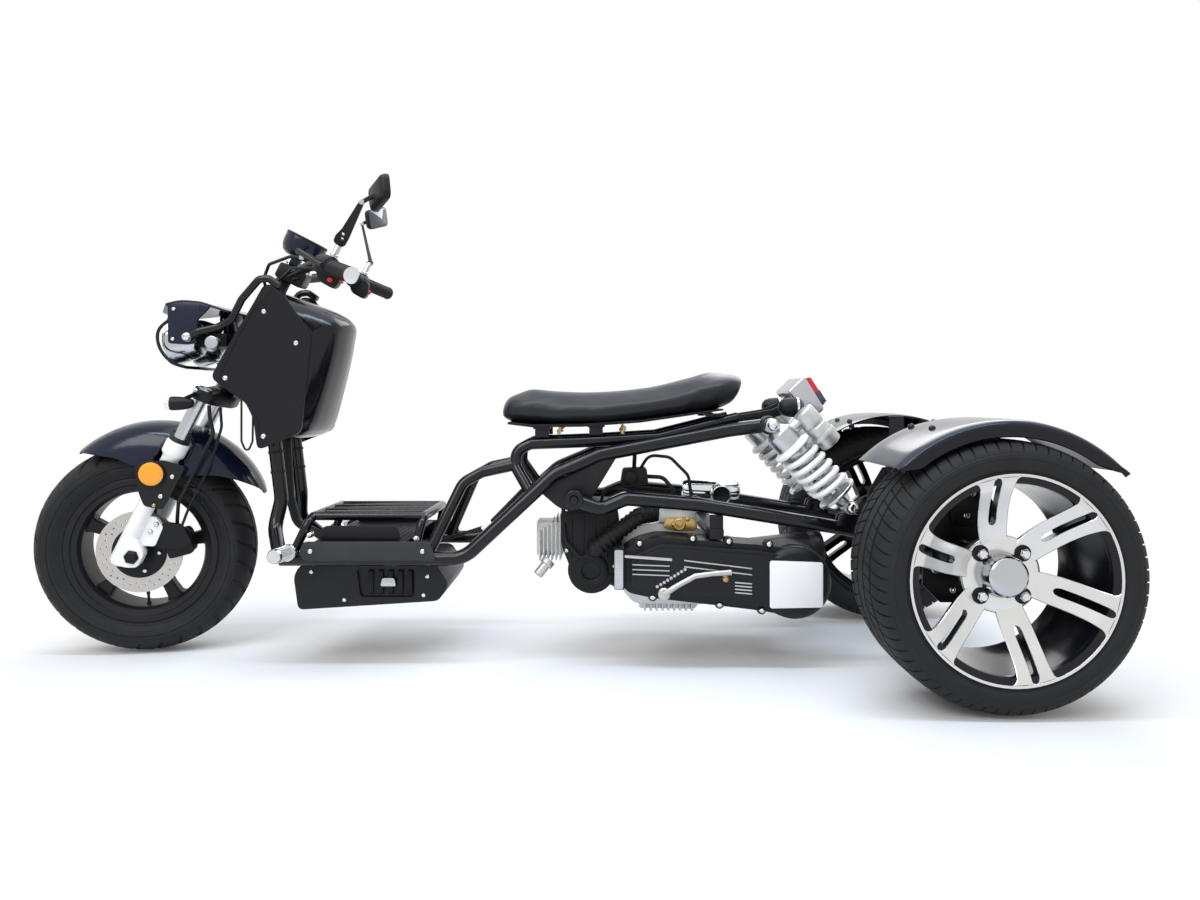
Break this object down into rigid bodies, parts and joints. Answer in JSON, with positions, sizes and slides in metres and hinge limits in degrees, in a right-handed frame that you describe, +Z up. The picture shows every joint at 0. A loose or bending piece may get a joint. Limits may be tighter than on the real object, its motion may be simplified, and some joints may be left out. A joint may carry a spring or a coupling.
{
  "type": "motor trike",
  "caption": "Tube-frame motor trike with a steered front wheel, raked fork, leg-shield fairing, foot deck, low saddle, scooter engine, coil-over shocks and wide fendered rear wheels.",
  "frame": {"origin": "middle of the whole vehicle's box, on the ground", "axes": "+X forward along the vehicle, +Y to the rider's left, +Z up"},
  "size_m": [2.2489, 0.915, 1.0889],
  "materials": {
    "gloss_black": "gloss black paint",
    "satin_black": "satin black",
    "leather": "smooth black leather",
    "tyre": "black tyre rubber",
    "rubber": "black rubber",
    "alloy": "machined and cast aluminium",
    "chrome": "polished chrome",
    "white": "white paint",
    "red_lens": "red lens",
    "amber_lens": "amber lens",
    "smoke_lens": "dark smoked lens",
    "clear_lens": "clear lens"
  },
  "bodies": {
    "chassis": {"downtube_left": "gloss_black", "downtube_right": "gloss_black", "head_tube": "gloss_black", "rail_left": "gloss_black", "rail_right": "gloss_black", "seat_rail_left": "gloss_black", "seat_rail_right": "gloss_black", "deck_rack": "gloss_black", "deck_panels": "satin_black", "battery_box": "satin_black", "foot_pegs": "chrome", "seat_pan": "satin_black", "seat_pad": "leather", "fairing_left": "gloss_black", "fairing_right": "gloss_black", "fairing_rear": "gloss_black", "headlamps": "satin_black", "headlamp_lenses": "clear_lens", "headlamp_hood": "gloss_black", "headlamp_guard": "gloss_black", "crankcase": "alloy", "cylinder_shroud": "satin_black", "cvt_cover": "satin_black", "kick_lever": "satin_black", "carburettor": "satin_black", "intake": "chrome", "exhaust": "satin_black", "swingarm_left": "gloss_black", "swingarm_right": "gloss_black", "axle_housing": "satin_black", "shocks": "alloy", "shock_springs": "white", "rear_fender_left": "gloss_black", "rear_fender_right": "gloss_black", "tail_bracket": "satin_black", "tail_lamp": "alloy", "tail_lens": "red_lens", "rear_signals": "smoke_lens"},
    "steering": {"fork_yoke": "satin_black", "fork_legs": "white", "front_axle": "satin_black", "front_fender": "gloss_black", "reflector_plates": "satin_black", "reflector_lenses": "amber_lens", "handlebar": "satin_black", "grips": "rubber", "switch_pods": "satin_black", "mirrors": "satin_black", "instrument": "satin_black", "front_signals": "satin_black", "brake_caliper": "satin_black", "brake_hose": "rubber"},
    "front_wheel": {"front_tyre": "tyre", "front_rim": "satin_black", "front_disc": "alloy"},
    "rear_wheel_left": {"rear_tyre_left": "tyre", "rear_rim_left": "alloy"},
    "rear_wheel_right": {"rear_tyre_right": "tyre", "rear_rim_right": "alloy"}
  },
  "joints": [
    {"name": "steering_turn", "type": "hinge", "parent": "chassis", "child": "steering", "pos_m": [0.88974, 0, 0.23609], "axis": [-0.454, 0, 0.891], "range_deg": [-49, 31]},
    {"name": "front_wheel_spin", "type": "hinge", "parent": "steering", "child": "front_wheel", "pos_m": [0.88974, 0, 0.23609], "axis": [-0.1394, 0.9877, -0.071], "continuous": true},
    {"name": "rear_wheel_left_spin", "type": "hinge", "parent": "chassis", "child": "rear_wheel_left", "pos_m": [-0.87526, 0.355, 0.249], "axis": [0, 1, 0], "continuous": true},
    {"name": "rear_wheel_right_spin", "type": "hinge", "parent": "chassis", "child": "rear_wheel_right", "pos_m": [-0.87526, -0.355, 0.249], "axis": [0, 1, 0], "continuous": true}
  ]
}
